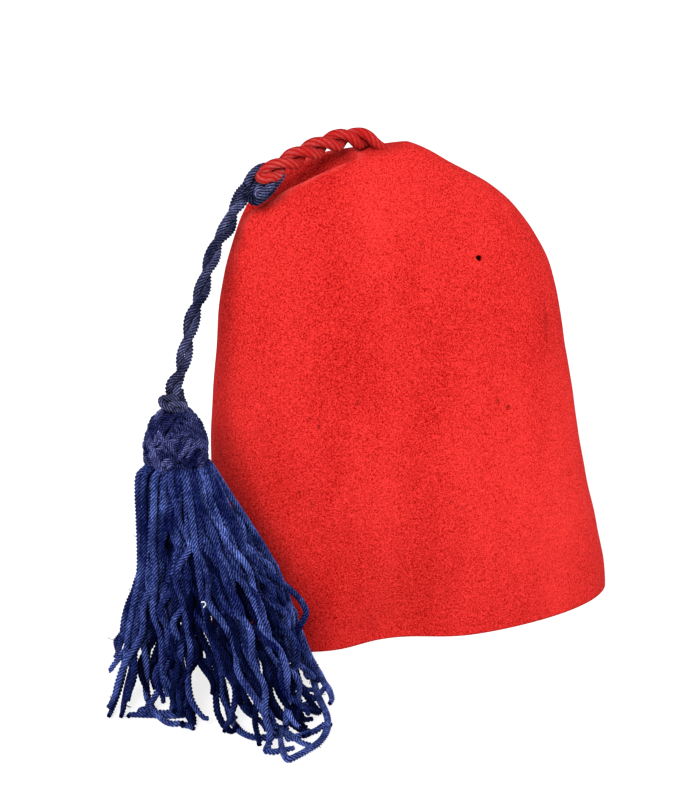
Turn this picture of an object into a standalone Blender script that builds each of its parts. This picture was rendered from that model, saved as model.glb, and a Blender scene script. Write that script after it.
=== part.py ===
"""A tall felt fez that stands flattened on its rim, with a red cord loop on its crown and
a long blue tassel that hangs from the loop and rests beside the hat.

Metres, +Z up. The rim stands on z = 0 with its long axis along X and its front facing -Y.
"""

import math

import bmesh
import bpy
import numpy as np
from mathutils import Quaternion, Vector
from mathutils.bvhtree import BVHTree

# Felt body
HAT_LONG = 0.240  # rim, left to right
HAT_DEEP = 0.116  # rim, front to back
HAT_TALL = 0.268  # surface to crest
FELT_THICK = 0.0022
CREASE_DEEP = 0.020  # how far the crown is pushed in along its crease
CREASE_REACH = 0.014  # from the crease's valley to each lip
LIP_PROUD = 0.002  # how far each lip stands up beside the crease
LIP_REACH = 0.010
RIM_WAVE_X = -0.032  # the middle of the shallow wave in the front of the rim
RIM_WAVE_DEEP = 0.016
RIM_WAVE_REACH = 0.040
RIM_WAVE_TALL = 0.060
MOTH_HOLE_X = 0.0205
MOTH_HOLE_Z = 0.2095
MOTH_HOLE_WIDE = 0.0034
CLEAR = 0.0003  # between pieces that touch

# Sections of the felt from the rim to the crown. up: height of the section's left and right
# end as a share of HAT_TALL. out: reach of each end as a share of half HAT_LONG. front, back:
# half depth as a share of half HAT_DEEP. square: 2 is an ellipse, more is squarer. crease: how
# much of CREASE_DEEP the left end is pushed in. The first section lies under the cut rim.
SECTION_COLUMNS = (
    "left_up", "right_up", "left_out", "right_out", "front", "back", "square", "crease",
)
SECTIONS = (
    (-0.05, -0.05, 1.000, 0.990, 0.97, 1.00, 2.2, 0.0),
    (0.035, 0.035, 1.000, 0.990, 0.97, 1.00, 2.2, 0.0),
    (0.150, 0.150, 0.995, 0.925, 0.95, 0.98, 2.2, 0.0),
    (0.290, 0.290, 0.990, 0.850, 0.91, 0.94, 2.2, 0.0),
    (0.460, 0.460, 0.990, 0.775, 0.86, 0.88, 2.2, 0.0),
    (0.630, 0.620, 0.960, 0.715, 0.76, 0.78, 2.2, 0.0),
    (0.760, 0.740, 0.935, 0.655, 0.65, 0.66, 2.2, 0.1),
    (0.855, 0.815, 0.900, 0.540, 0.53, 0.54, 2.3, 0.4),
    (0.915, 0.876, 0.835, 0.435, 0.43, 0.43, 2.4, 0.9),
    (0.955, 0.918, 0.710, 0.305, 0.34, 0.34, 2.6, 1.0),
    (0.976, 0.952, 0.560, 0.140, 0.27, 0.27, 2.8, 1.0),
    (0.986, 1.003, 0.330, -0.030, 0.16, 0.16, 2.4, 0.6),
)
SIDE_FACES = 16  # faces along the front of each section, and along the back
END_CLOSENESS = 0.5  # how much closer together they stand at a section's ends
FINE_STEPS = 400

# Red loop: one cord doubled and twisted on itself
LOOP_STRAND = 0.0058
LOOP_HALF_TURNS = 5
LOOP_STEPS = 36  # points along each strand
LOOP_END_STEPS = 5  # points round the closed end
LOOP_ROUTE = (
    (-0.027, 0.000, 0.2728), (-0.034, -0.001, 0.2732), (-0.043, -0.003, 0.2732),
    (-0.052, -0.006, 0.2724), (-0.062, -0.009, 0.2706), (-0.073, -0.013, 0.2680),
    (-0.084, -0.017, 0.2648), (-0.0947, -0.020, 0.2606),
)

# Blue cord from its hitch on the loop to its knot on the tassel; it starts and ends on these
CORD_THICK = 0.0080
CORD_STEPS = 22
CORD_ROUTE = (
    (-0.1095, -0.0137, 0.2413),
    (-0.1143, -0.0165, 0.2352), (-0.1219, -0.0205, 0.2270), (-0.1265, -0.0240, 0.2199),
    (-0.1315, -0.0285, 0.2113), (-0.1360, -0.0325, 0.2026), (-0.1409, -0.0360, 0.1945),
    (-0.1447, -0.0395, 0.1847), (-0.1485, -0.0430, 0.1755), (-0.1515, -0.0455, 0.1670),
    (-0.1558, -0.0476, 0.1622),
)
HITCH_THICK = 0.0054
HITCH_BEYOND = 0.0030  # how far past the end of the loop's route the hitch sits
HITCH_DROP = 0.0030  # and how far below it
HITCH_LEAN = 18  # degrees that the hitch's ring turns to the front
KNOT_WIDE = 0.0140
KNOT_TALL = 0.0100

# Tassel
TASSEL_X = -0.157
TASSEL_Y = -0.048
HEAD_BOTTOM = 0.119
HEAD_WIDE = 0.035
HEAD_TALL = 0.029
HEAD_THICK = 0.0022
HEAD_SIDES = 20
SKIRT_LONG = 0.155  # the yarns below the head
LOCK_THICK = 0.0125
LOCK_STEPS = 10
BULGE = 0.0160  # how far from the tassel's axis the yarns roll over below the head

# Outline of the head from its lower edge to its top, as shares of half HEAD_WIDE and of HEAD_TALL.
HEAD_COLUMNS = ("out", "up")
HEAD_OUTLINE = ((0.91, 0.00), (1.00, 0.17), (0.98, 0.48), (0.86, 0.72), (0.67, 0.90), (0.48, 1.00))

# Locks of yarn. leave: the side on which a lock leaves the head, in degrees from +X. out and
# turn: where its tip lies, as a share of SKIRT_LONG from the tassel's axis and in degrees.
# bow: how far it swells outwards half way down, as a share of SKIRT_LONG. lie: the share of
# its reach that lies on the surface. girth: its thickness as a share of LOCK_THICK.
LOCK_COLUMNS = ("leave", "out", "turn", "bow", "lie", "girth")
LOCKS = (
    (205, 0.40, 216, 0.02, 0.10, 1.0),
    (222, 0.33, 228, 0.01, 0.12, 1.0),
    (240, 0.35, 243, 0.02, 0.12, 1.0),
    (257, 0.45, 256, 0.03, 0.15, 0.9),
    (272, 0.54, 273, 0.03, 0.15, 0.9),
    (286, 0.74, 279, 0.04, 0.12, 1.0),
    (300, 0.64, 285, 0.05, 0.15, 1.0),
    (314, 0.71, 291, 0.05, 0.15, 1.0),
    (328, 0.63, 299, 0.06, 0.15, 1.0),
    (343, 0.55, 315, 0.07, 0.15, 1.0),
    (358, 0.48, 334, 0.08, 0.12, 0.9),
    (16, 0.40, 355, 0.07, 0.10, 0.9),
    (42, 0.24, 20, 0.04, 0.10, 0.9),
    (72, 0.22, 62, 0.02, 0.10, 0.9),
    (106, 0.24, 102, 0.02, 0.10, 0.9),
    (140, 0.24, 142, 0.02, 0.10, 1.0),
    (172, 0.24, 180, 0.00, 0.10, 1.0),
)

FELT_RED = (0.66, 0.030, 0.026, 1.0)
CORD_RED = (0.48, 0.024, 0.022, 1.0)
YARN_BLUE = (0.013, 0.022, 0.096, 1.0)
NET_BLUE = (0.018, 0.018, 0.070, 1.0)


def rows(columns, table):
    """A table's rows, each as a dictionary of its named columns."""
    return [dict(zip(columns, row)) for row in table]


def clear_scene():
    for item in list(bpy.data.objects):
        bpy.data.objects.remove(item, do_unlink=True)
    for group in list(bpy.data.collections):
        bpy.data.collections.remove(group)


def new_collection(name):
    group = bpy.data.collections.new(name)
    bpy.context.scene.collection.children.link(group)
    return group


def cloth(name, colour, roughness):
    """A plain textile material."""
    made = bpy.data.materials.new(name)
    made.use_nodes = True
    shader = made.node_tree.nodes["Principled BSDF"]
    shader.inputs["Base Color"].default_value = colour
    shader.inputs["Roughness"].default_value = roughness
    shader.inputs["Metallic"].default_value = 0.0
    return made


def place(name, data, group, material=None):
    made = bpy.data.objects.new(name, data)
    group.objects.link(made)
    if material:
        made.data.materials.append(material)
    return made


def as_cutter(cutter):
    cutter.hide_render = True
    cutter.display_type = "WIRE"


def boolean(target, operation, cutter=None, cutters=None):
    """Cuts or joins another object, or every object of a collection."""
    step = target.modifiers.new(operation.lower(), "BOOLEAN")
    step.operation = operation
    step.solver = "EXACT"
    if cutters:
        step.operand_type = "COLLECTION"
        step.collection = cutters
    else:
        step.object = cutter


def evaluated_mesh(item):
    """A plain mesh of an object with its modifiers and bevel applied, in world space."""
    graph = bpy.context.evaluated_depsgraph_get()
    mesh = bpy.data.meshes.new_from_object(item.evaluated_get(graph))
    mesh.transform(item.matrix_world)
    return mesh


def smooth_line(points, count):
    """Evenly spaced points on a smooth curve through the given ones."""
    given = [Vector(p) for p in points]
    ends = [2 * given[0] - given[1]] + given + [2 * given[-1] - given[-2]]
    fine = []
    for a, b, c, d in zip(ends, ends[1:], ends[2:], ends[3:]):
        for step in range(20):
            t = step / 20
            fine.append(
                0.5 * (2 * b + (c - a) * t + (2 * a - 5 * b + 4 * c - d) * t**2
                       + (3 * b - a - 3 * c + d) * t**3)
            )
    fine.append(given[-1])
    walked = np.cumsum([0.0] + [(b - a).length for a, b in zip(fine, fine[1:])])
    wanted = np.linspace(0, walked[-1], count)
    columns = [np.interp(wanted, walked, [p[k] for p in fine]) for k in range(3)]
    return [Vector(p) for p in zip(*columns)]


def directions(line):
    """At each point of a line: its tangent and two side directions that don't twist."""
    frames = []
    side = Vector((0, 1, 0))
    for i, point in enumerate(line):
        ahead = line[min(i + 1, len(line) - 1)] - line[max(i - 1, 0)]
        ahead.normalize()
        side = (side - ahead * side.dot(ahead)).normalized()
        frames.append((ahead, side, ahead.cross(side)))
    return frames


def tube(name, line, thick, group, material=None, shares=None, sides=2):
    """A round cord along a line; shares thin or thicken it point by point."""
    curve = bpy.data.curves.new(name, "CURVE")
    curve.dimensions = "3D"
    curve.bevel_depth = thick / 2
    curve.bevel_resolution = sides
    curve.use_fill_caps = True
    spline = curve.splines.new("POLY")
    spline.points.add(len(line) - 1)
    for i, (point, place_on) in enumerate(zip(spline.points, line)):
        point.co = (*place_on, 1.0)
        point.radius = shares[i] if shares else 1.0
    return place(name, curve, group, material)


def half_oval(half_long, half_deep, square):
    """One side of an oval from its left end to its right end.

    Gives each point's share along, its share across and how far it has walked. The points
    stand closer together near the ends, where the felt turns.
    """
    turn = np.linspace(math.pi, 0, FINE_STEPS)
    along = np.sign(np.cos(turn)) * np.abs(np.cos(turn)) ** (2 / square)
    across = np.abs(np.sin(turn)) ** (2 / square)
    across[[0, -1]] = 0.0
    walked = np.cumsum(
        np.hypot(np.diff(along, prepend=along[0]) * half_long,
                 np.diff(across, prepend=across[0]) * half_deep)
    )
    even = np.linspace(0, 1, SIDE_FACES + 1)
    wanted = (even - END_CLOSENESS * np.sin(2 * math.pi * even) / (2 * math.pi)) * walked[-1]
    return np.interp(wanted, walked, along), np.interp(wanted, walked, across), wanted


def bump(distance, reach):
    """A smooth hump: 1 at no distance, 0 from reach on."""
    return 0.5 + 0.5 * math.cos(math.pi * min(distance / reach, 1.0))


def section_end(row, side):
    """The left or right end of a section."""
    out = row["left_out"] if side < 0 else row["right_out"]
    up = row["left_up"] if side < 0 else row["right_up"]
    return Vector((side * out * HAT_LONG / 2, 0, up * HAT_TALL))


def section_points(row, inward):
    """The front and the back points of one section, both from its left end to its right."""
    left, right = section_end(row, -1), section_end(row, 1)
    middle, half = (left + right) / 2, (right - left) / 2
    sides = []
    for toward, deep in ((-1, row["front"]), (1, row["back"])):
        half_deep = deep * HAT_DEEP / 2
        points = []
        for along, across, walked in zip(*half_oval(half.length, half_deep, row["square"])):
            point = middle + half * along + Vector((0, toward * across * half_deep, 0))
            push = CREASE_DEEP * bump(walked, CREASE_REACH)
            push -= LIP_PROUD * bump(abs(walked - CREASE_REACH), LIP_REACH)
            point += inward * push * row["crease"]
            if toward < 0:
                wave = RIM_WAVE_DEEP * bump(abs(point.x - RIM_WAVE_X), RIM_WAVE_REACH)
                point.y += wave * bump(max(point.z, 0), RIM_WAVE_TALL)
            points.append(point)
        sides.append(points)
    return sides


def felt_surface(name):
    """The felt's outer face as a coarse cage, open below the rim and closed along the crest."""
    table = rows(SECTION_COLUMNS, SECTIONS)
    ends = [section_end(row, -1) for row in table]
    cage = bmesh.new()
    rings = []
    for i, row in enumerate(table):
        rise = ends[min(i + 1, len(ends) - 1)] - ends[max(i - 1, 0)]
        inward = Vector((rise.z, 0, -rise.x)).normalized()
        front, back = section_points(row, inward)
        loop = front + back[-2:0:-1]
        rings.append([cage.verts.new(p) for p in loop])
    for lower, upper in zip(rings, rings[1:]):
        for i in range(len(lower)):
            j = (i + 1) % len(lower)
            cage.faces.new((lower[i], lower[j], upper[j], upper[i]))
    crest = rings[-1]
    for i in range(SIDE_FACES):
        across = (crest[i], crest[i + 1], crest[-i - 1], crest[-i])
        cage.faces.new(tuple(dict.fromkeys(across)))
    bmesh.ops.recalc_face_normals(cage, faces=cage.faces)
    mesh = bpy.data.meshes.new(name)
    cage.to_mesh(mesh)
    cage.free()
    mesh.shade_smooth()
    return mesh


def box(name, low, high, group):
    mesh = bpy.data.meshes.new(name)
    cube = bmesh.new()
    bmesh.ops.create_cube(cube, size=1.0)
    low, high = Vector(low), Vector(high)
    for vertex in cube.verts:
        vertex.co = (low + high) / 2 + vertex.co * (high - low)
    cube.to_mesh(mesh)
    cube.free()
    made = place(name, mesh, group)
    as_cutter(made)
    return made


def hat_body(parts, cutters, material):
    """The felt shell, cut flat at its rim and pierced by the moth hole."""
    hat = place("hat_body", felt_surface("hat_body"), parts, material)
    subdivide = hat.modifiers.new("soften", "SUBSURF")
    subdivide.levels = 1
    subdivide.render_levels = 1
    wall = hat.modifiers.new("felt", "SOLIDIFY")
    wall.thickness = FELT_THICK
    wall.offset = -1
    reach = HAT_LONG
    below = box("below_rim", (-reach, -reach, -reach), (reach, reach, 0), cutters)
    boolean(hat, "DIFFERENCE", below)
    bpy.ops.mesh.primitive_cylinder_add(
        vertices=8, radius=MOTH_HOLE_WIDE / 2, depth=HAT_DEEP / 2,
        location=(MOTH_HOLE_X, -HAT_DEEP / 4 - FELT_THICK, MOTH_HOLE_Z),
        rotation=(math.radians(90), 0, 0),
    )
    hole = bpy.context.object
    hole.name = "moth_hole"
    for group in list(hole.users_collection):
        group.objects.unlink(hole)
    cutters.objects.link(hole)
    as_cutter(hole)
    boolean(hat, "DIFFERENCE", hole)
    return hat


def top_loop(parts, material, hat):
    """Two strands of one red cord, twisted on each other, that meet in a closed end."""
    line = smooth_line(LOOP_ROUTE, LOOP_STEPS)
    apart = (LOOP_STRAND + CLEAR) / 2
    strands = ([], [])
    for i, (point, (_, side, up)) in enumerate(zip(line, directions(line))):
        turn = math.pi * LOOP_HALF_TURNS * i / (LOOP_STEPS - 1)
        away = side * math.cos(turn) + up * math.sin(turn)
        strands[0].append(point + away * apart)
        strands[1].append(point - away * apart)
    first, second = strands
    ahead = (line[-1] - line[-2]).normalized()
    middle, across = (first[-1] + second[-1]) / 2, (first[-1] - second[-1]) / 2
    end = [
        middle + across * math.cos(a) + ahead * across.length * math.sin(a)
        for a in np.linspace(0, math.pi, LOOP_END_STEPS + 2)[1:-1]
    ]
    felt = BVHTree.FromPolygons(*polygons(evaluated_mesh(hat)))
    for strand in strands:
        foot = strand[0]
        strand.insert(0, Vector((foot.x, foot.y, highest_under(felt, foot) + CLEAR)))
    return tube("top_loop", first + end + second[::-1], LOOP_STRAND, parts, material)


def highest_under(felt, foot):
    """The height of the highest felt under the end of a strand."""
    found = []
    for turn in np.linspace(0, 2 * math.pi, 8, endpoint=False):
        for reach in (0, LOOP_STRAND / 2):
            side = Vector((math.cos(turn), math.sin(turn), 0)) * reach
            found.append(felt.ray_cast(foot + side + Vector((0, 0, HAT_TALL)), Vector((0, 0, -1)))[0].z)
    return max(found)


def polygons(mesh):
    """A mesh's corners and faces, for a search tree."""
    return [v.co.copy() for v in mesh.vertices], [tuple(f.vertices) for f in mesh.polygons]


def hitch_place():
    """The hitch's middle, the direction that its ring faces and the radius of its hole."""
    line = smooth_line(LOOP_ROUTE, LOOP_STEPS)
    facing = (line[-1] - line[-2]).normalized()
    middle = line[-1] + facing * HITCH_BEYOND - Vector((0, 0, HITCH_DROP))
    lean = math.radians(HITCH_LEAN)
    facing.rotate(Quaternion((0, 0, 1), lean))
    return middle, facing, (LOOP_STRAND + CLEAR) / math.cos(lean) + CLEAR


def hitch(parts, material):
    """The blue cord's wrap round the closed end of the red loop."""
    middle, facing, hole = hitch_place()
    bpy.ops.mesh.primitive_torus_add(
        major_radius=hole + HITCH_THICK / 2, minor_radius=HITCH_THICK / 2,
        major_segments=18, minor_segments=8,
        location=middle, rotation=facing.to_track_quat("Z", "Y").to_euler(),
    )
    return adopt("hitch", parts, material)


def hanging_cord(parts, material):
    """The blue cord, from the side of the hitch to the top of the knot."""
    middle, facing, hole = hitch_place()
    out = Vector(CORD_ROUTE[0]) - middle
    out = (out - facing * out.dot(facing)).normalized()
    start = middle + out * (hole + HITCH_THICK + CLEAR)
    tilt = (Vector(CORD_ROUTE[0]) - start).angle(out)
    start += out * math.sin(tilt) * CORD_THICK / 2
    end = Vector((TASSEL_X, TASSEL_Y, knot_height() + KNOT_TALL / 2 + CLEAR))
    route = (start, *CORD_ROUTE, end)
    return tube("hanging_cord", smooth_line(route, CORD_STEPS), CORD_THICK, parts, material)


def adopt(name, parts, material):
    """Names the object that a primitive has just made and moves it to the parts."""
    made = bpy.context.object
    made.name = name
    for group in list(made.users_collection):
        group.objects.unlink(made)
    parts.objects.link(made)
    made.data.materials.append(material)
    made.data.shade_smooth()
    return made


def knot_height():
    """The knot's middle, where it sits on the bound yarns in the hole in the head's top."""
    return HEAD_BOTTOM + head_outline(HEAD_THICK + CLEAR)[-1][1] + CLEAR + KNOT_TALL / 2


def neck_knot(parts, material):
    bpy.ops.mesh.primitive_uv_sphere_add(
        segments=12, ring_count=8, radius=0.5,
        location=(TASSEL_X, TASSEL_Y, knot_height()),
        scale=(KNOT_WIDE, KNOT_WIDE, KNOT_TALL),
    )
    return adopt("neck_knot", parts, material)


def turned(name, outline, group, material=None):
    """A closed outline of (radius, height) turned about the tassel's axis."""
    mesh = bpy.data.meshes.new(name)
    count = len(outline)
    edges = [(i, (i + 1) % count) for i in range(count)]
    mesh.from_pydata([(r, 0, z) for r, z in outline], edges, [])
    made = place(name, mesh, group, material)
    made.location = (TASSEL_X, TASSEL_Y, HEAD_BOTTOM)
    screw = made.modifiers.new("turn", "SCREW")
    screw.steps = HEAD_SIDES
    screw.render_steps = HEAD_SIDES
    screw.use_merge_vertices = True
    screw.merge_threshold = 0.00005
    screw.use_normal_calculate = True
    return made


def head_outline(inset):
    """The head's outline drawn in by some distance, from its lower edge up."""
    half = HEAD_WIDE / 2
    return [
        (row["out"] * half - inset, row["up"] * (HEAD_TALL - inset))
        for row in rows(HEAD_COLUMNS, HEAD_OUTLINE)
    ]


def tassel_head(parts, material):
    """The crocheted cover: a dome of one thickness, open below and pierced above."""
    outer = head_outline(0)
    inner = head_outline(HEAD_THICK)
    return turned("tassel_head", outer[::-1] + inner, parts, material)


def tassel_core(parts, material):
    """The bound tops of the yarns, which fill the head and carry the locks."""
    inside = head_outline(HEAD_THICK + CLEAR)
    top = inside[-1][1]
    radius = inside[0][0]
    low = -LOCK_THICK
    outline = [(0, top)] + inside[::-1] + [(radius, low), (0, low)]
    return turned("tassel_skirt", outline, parts, material)


def lock_line(row):
    """The middle of a lock from inside the core to its tip on the surface."""
    def at(out, degrees, z):
        turn = math.radians(degrees)
        return Vector((TASSEL_X + out * math.cos(turn), TASSEL_Y + out * math.sin(turn), z))

    half = row["girth"] * LOCK_THICK / 2
    tip_out = row["out"] * SKIRT_LONG
    floor = half * 0.5 + CLEAR
    roll = HEAD_BOTTOM - half - 3 * CLEAR
    bulge = at(BULGE, row["leave"], roll - half * 0.7)
    foot = at(tip_out * (1 - row["lie"]), row["turn"], floor + half * 0.4)
    middle = (bulge + foot) / 2
    outward = Vector((middle.x - TASSEL_X, middle.y - TASSEL_Y, 0)).normalized()
    middle += outward * (row["bow"] * SKIRT_LONG - (foot - bulge).xy.length * 0.12)
    return smooth_line(
        (at(BULGE * 0.45, row["leave"], roll - half * 0.2), bulge, middle, foot,
         at(tip_out, row["turn"], floor)),
        LOCK_STEPS,
    )


def tassel_skirt(parts, locks, material):
    """Locks of yarn joined to the core in the head."""
    core = tassel_core(parts, material)
    for i, row in enumerate(rows(LOCK_COLUMNS, LOCKS)):
        line = lock_line(row)
        shares = np.interp(
            np.linspace(0, 1, LOCK_STEPS), (0, 0.15, 0.6, 0.9, 1), (0.75, 1, 0.95, 0.7, 0.45)
        )
        strand = tube(f"lock_{i:02}", line, row["girth"] * LOCK_THICK, locks,
                      shares=list(shares), sides=1)
        mesh = evaluated_mesh(strand)
        weld = bmesh.new()
        weld.from_mesh(mesh)
        bmesh.ops.remove_doubles(weld, verts=weld.verts, dist=0.00001)
        weld.to_mesh(mesh)
        weld.free()
        name = strand.name
        bpy.data.objects.remove(strand, do_unlink=True)
        as_cutter(place(name, mesh, locks))
    boolean(core, "UNION", cutters=locks)
    return core


def main():
    clear_scene()
    parts = new_collection("fez_hat")
    cutters = new_collection("cutters")
    locks = new_collection("tassel_locks")
    felt = cloth("red_felt", FELT_RED, 0.95)
    red_cord = cloth("red_cord", CORD_RED, 0.90)
    blue_yarn = cloth("blue_yarn", YARN_BLUE, 0.85)
    blue_net = cloth("blue_net", NET_BLUE, 0.90)
    hat = hat_body(parts, cutters, felt)
    top_loop(parts, red_cord, hat)
    hitch(parts, blue_yarn)
    hanging_cord(parts, blue_yarn)
    neck_knot(parts, blue_yarn)
    tassel_head(parts, blue_net)
    tassel_skirt(parts, locks, blue_yarn)


main()
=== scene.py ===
# %% [markdown]
# # A red felt fez with a long blue tassel
#
# The hat is a soft cap of red wool felt. It stands on its rim, squeezed flat from front to back,
# and its crown has folded in on itself. A red cord loop is sewn to the crown. A blue cord is
# hitched to the loop and ends in a tassel that rests beside the hat.
#
# The solids of the model come first. Every piece below takes the place of one of them.

# %% Load the solids
import math
import random

import bmesh
import bpy
import numpy as np
from mathutils import Matrix, Vector, noise
from mathutils.bvhtree import BVHTree


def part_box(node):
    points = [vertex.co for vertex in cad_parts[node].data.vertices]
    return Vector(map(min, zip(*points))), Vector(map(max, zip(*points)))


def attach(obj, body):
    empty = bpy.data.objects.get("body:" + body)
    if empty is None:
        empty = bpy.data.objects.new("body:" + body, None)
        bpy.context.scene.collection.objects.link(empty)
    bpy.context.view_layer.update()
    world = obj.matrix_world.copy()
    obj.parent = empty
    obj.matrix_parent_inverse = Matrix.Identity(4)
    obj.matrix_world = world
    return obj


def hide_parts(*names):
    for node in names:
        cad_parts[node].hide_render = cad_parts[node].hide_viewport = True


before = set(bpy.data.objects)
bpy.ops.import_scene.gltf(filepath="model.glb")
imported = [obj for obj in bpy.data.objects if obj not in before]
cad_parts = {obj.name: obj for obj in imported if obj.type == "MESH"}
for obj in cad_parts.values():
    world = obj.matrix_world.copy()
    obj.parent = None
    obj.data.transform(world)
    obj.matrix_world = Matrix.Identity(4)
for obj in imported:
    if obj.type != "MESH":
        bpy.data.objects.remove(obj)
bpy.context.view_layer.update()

for node in sorted(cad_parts):
    low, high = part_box(node)
    print(node, [round(1000 * (b - a)) for a, b in zip(low, high)], "mm")


# %% [markdown]
# ## The camera
#
# A hat of this height shows a narrow band of its top, so the camera stands above it and looks
# down a little. It stands to the left, because the tassel hangs nearer than the hat. A long lens
# from 1.3 m keeps the upright lines nearly parallel. Blender could aim it with a Track To
# constraint, but a plain rotation leaves nothing live in the file.

# %% Camera
AIM = Vector((-0.042, 0.0, 0.1265))
AZIMUTH = math.radians(22)
ELEVATION = math.radians(17.7)
DISTANCE = 1.3
LENS = 122.96


def place_in_scene(name, data):
    """A new object for a mesh, curve, light or camera."""
    item = bpy.data.objects.new(name, data)
    bpy.context.scene.collection.objects.link(item)
    return item


def direction_to(left, high):
    """The direction to a place at two angles: left of the front, and above the surface."""
    return Vector((-math.sin(left) * math.cos(high), -math.cos(left) * math.cos(high), math.sin(high)))


def look_along(item, direction):
    """Turns a camera or a light, which both look along their own -Z."""
    item.rotation_euler = direction.to_track_quat("-Z", "Y").to_euler()


def add_camera():
    camera = place_in_scene("camera", bpy.data.cameras.new("camera"))
    toward = direction_to(AZIMUTH, ELEVATION)
    camera.location = AIM + DISTANCE * toward
    look_along(camera, -toward)
    camera.data.sensor_fit = "HORIZONTAL"
    camera.data.sensor_width = 36
    camera.data.lens = LENS
    camera.data.dof.use_dof = False
    bpy.context.scene.camera = camera
    return camera


print("camera at", [round(v, 3) for v in add_camera().location])


# %% [markdown]
# ## Small helpers
#
# Nearly every piece here is a yarn that follows a line, so the first helpers draw smooth lines.
# A Catmull-Rom curve passes through each of its points, which makes a route easy to choose by
# hand. A frame that is carried along the line without twisting gives two side directions at each
# point, and those place one strand beside another.

# %% Smooth lines
FINE_STEPS = 20


def walk_along(line):
    """How far each point of a line is from its start, measured along it."""
    return np.cumsum([0.0] + [(b - a).length for a, b in zip(line, line[1:])])


def smooth_line(points, count):
    """Evenly spaced points on a smooth curve through the given ones."""
    given = [Vector(p) for p in points]
    ends = [2 * given[0] - given[1]] + given + [2 * given[-1] - given[-2]]
    fine = []
    for a, b, c, d in zip(ends, ends[1:], ends[2:], ends[3:]):
        for step in range(FINE_STEPS):
            t = step / FINE_STEPS
            fine.append(
                0.5 * (2 * b + (c - a) * t + (2 * a - 5 * b + 4 * c - d) * t**2
                       + (3 * b - a - 3 * c + d) * t**3)
            )
    fine.append(given[-1])
    walked = walk_along(fine)
    wanted = np.linspace(0, walked[-1], count)
    columns = [np.interp(wanted, walked, [p[k] for p in fine]) for k in range(3)]
    return [Vector(p) for p in zip(*columns)]


def directions(line):
    """At each point of a line: its tangent and two side directions that don't twist."""
    frames = []
    side = Vector((0, 1, 0))
    for i in range(len(line)):
        ahead = line[min(i + 1, len(line) - 1)] - line[max(i - 1, 0)]
        ahead.normalize()
        side = (side - ahead * side.dot(ahead)).normalized()
        frames.append((ahead, side, ahead.cross(side)))
    return frames


def length_of(line):
    return sum((b - a).length for a, b in zip(line, line[1:]))


# %% [markdown]
# A node tree is built from its sockets. These helpers keep that short: one joins a value or another
# socket to an input, one adds a node and fills its inputs, two add the Math nodes, and the last one
# starts a group.

# %% Node helpers
def connect(tree, value, socket):
    """Links a socket to an input, or writes a plain value in it."""
    if isinstance(value, bpy.types.NodeSocket):
        tree.links.new(value, socket)
    elif value is not None:
        socket.default_value = value


def add_node(tree, kind, *values, **settings):
    """A node with its settings made and its first inputs filled in order."""
    node = tree.nodes.new(kind)
    for name, value in settings.items():
        setattr(node, name, value)
    for socket, value in zip(node.inputs, values):
        connect(tree, value, socket)
    return node


def calculate(tree, operation, *values):
    """One Math node; gives its result."""
    return add_node(tree, "ShaderNodeMath", *values, operation=operation).outputs[0]


def on_vectors(tree, operation, *values):
    """One Vector Math node that gives a vector."""
    return add_node(tree, "ShaderNodeVectorMath", *values, operation=operation).outputs[0]


def new_group(name, kind, inputs, outputs):
    """A node group with named sockets, and its input and output nodes."""
    tree = bpy.data.node_groups.new(name, kind)
    for label, socket_type, value in inputs:
        socket = tree.interface.new_socket(label, in_out="INPUT", socket_type=socket_type)
        if value is not None:
            socket.default_value = value
    for label, socket_type in outputs:
        tree.interface.new_socket(label, in_out="OUTPUT", socket_type=socket_type)
    return tree, tree.nodes.new("NodeGroupInput"), tree.nodes.new("NodeGroupOutput")


# %% [markdown]
# ## Shared finishes
#
# Wool shows two things at this distance. Its fibres catch light unevenly, which looks like fine
# grain, and its dye took unevenly, which looks like soft clouds. Both are noise at different
# sizes, so one shader group makes them, and each material sets its own sizes and strengths. The
# group reads Object coordinates, so the pattern stays put on the piece.

# %% Grain group
FLOAT, VECTOR = "NodeSocketFloat", "NodeSocketVector"


def build_grain():
    """Fine grain and soft clouds. Cover is 0 in the darkest place and 1 in the brightest."""
    tree, given, made = new_group(
        "wool_grain", "ShaderNodeTree",
        [("Grain size", FLOAT, 0.0012), ("Cloud size", FLOAT, 0.03), ("Upright", FLOAT, 0.5),
         ("Grain", FLOAT, 0.5), ("Clouds", FLOAT, 0.3)],
        [("Cover", FLOAT), ("Height", FLOAT)],
    )
    place = tree.nodes.new("ShaderNodeTexCoord").outputs["Object"]
    fine_scale = calculate(tree, "DIVIDE", 1.0, given.outputs["Grain size"])
    fine = add_node(tree, "ShaderNodeTexNoise", place, None, fine_scale, 3.0, 0.62).outputs[0]
    stretch = add_node(tree, "ShaderNodeCombineXYZ", 1.0, 1.0, given.outputs["Upright"]).outputs[0]
    tall = on_vectors(tree, "MULTIPLY", place, stretch)
    wide_scale = calculate(tree, "DIVIDE", 1.0, given.outputs["Cloud size"])
    wide = add_node(tree, "ShaderNodeTexNoise", tall, None, wide_scale, 4.0, 0.55).outputs[0]
    sharp = add_node(tree, "ShaderNodeMapRange", fine, 0.28, 0.72, 0.0, 1.0).outputs[0]
    soft = add_node(tree, "ShaderNodeMapRange", wide, 0.3, 0.7, 0.0, 1.0).outputs[0]
    grain = calculate(tree, "MULTIPLY", sharp, given.outputs["Grain"])
    clouds = calculate(tree, "MULTIPLY", soft, given.outputs["Clouds"])
    total = calculate(tree, "ADD", grain, clouds)
    most = calculate(tree, "ADD", given.outputs["Grain"], given.outputs["Clouds"])
    connect(tree, calculate(tree, "DIVIDE", total, most), made.inputs["Cover"])
    connect(tree, sharp, made.inputs["Height"])
    return tree


GRAIN = build_grain()
print("grain group:", len(GRAIN.nodes), "nodes")


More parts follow.
